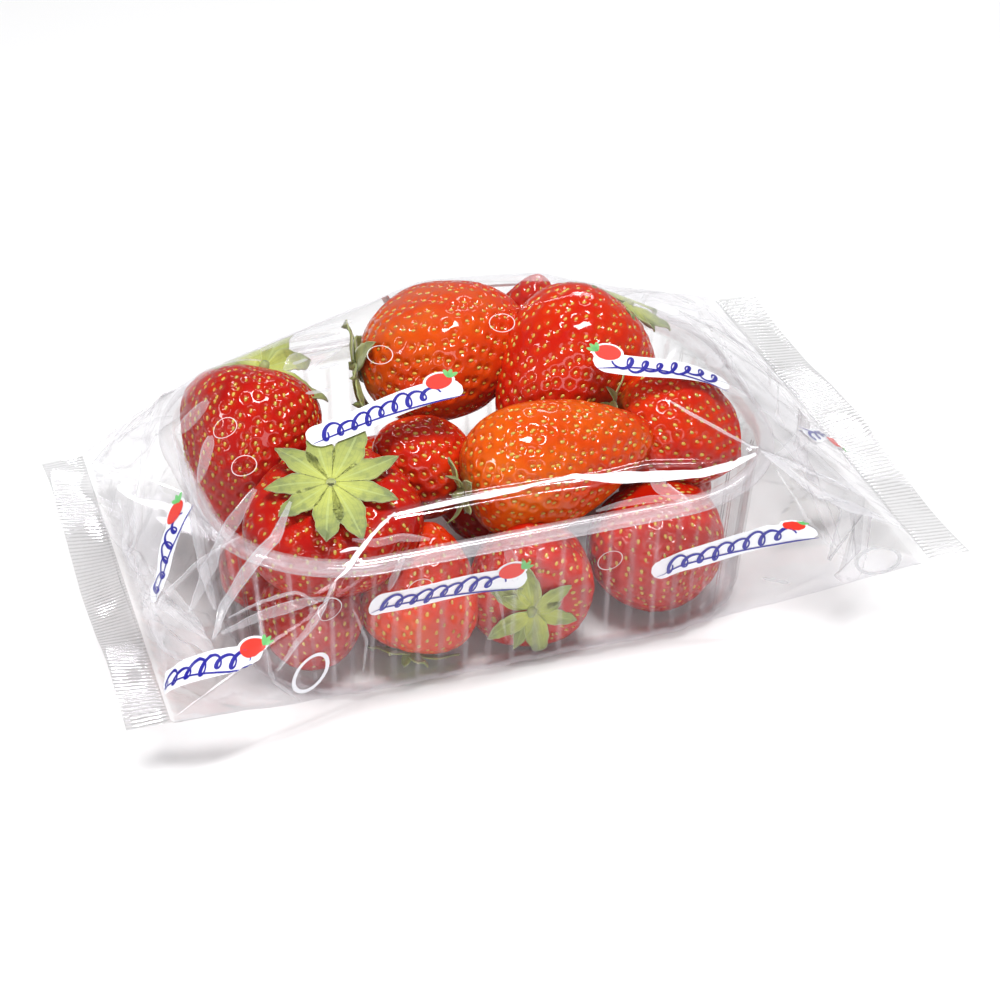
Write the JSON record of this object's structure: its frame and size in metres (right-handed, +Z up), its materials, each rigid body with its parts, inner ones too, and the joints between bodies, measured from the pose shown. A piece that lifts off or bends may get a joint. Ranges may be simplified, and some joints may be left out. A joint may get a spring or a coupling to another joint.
{
  "type": "punnet of strawberries",
  "caption": "Ribbed clear plastic tray with a rolled rim, heaped with strawberries and flow-wrapped in clear film that is crimped flat at both ends",
  "frame": {"origin": "under the middle of the tray, on the flat of the film that the pack rests on", "axes": "X along the tray from one crimped end to the other, Y across it, Z up"},
  "size_m": [0.21, 0.1302, 0.0649],
  "materials": {
    "tray": "clear, slightly milky thermoformed plastic",
    "berry": "moist glossy skin, red to orange, dimpled round each seed",
    "film": "clear glossy film with creases, printed in small fields of colour",
    "seed": "small hard seed, yellow to olive",
    "leaf": "soft hairy leaf, light green",
    "ink": "printed ink on film"
  },
  "bodies": {
    "root": {"punnet": "tray", "strawberries": "berry", "film_wrap": "film"}
  },
  "joints": []
}
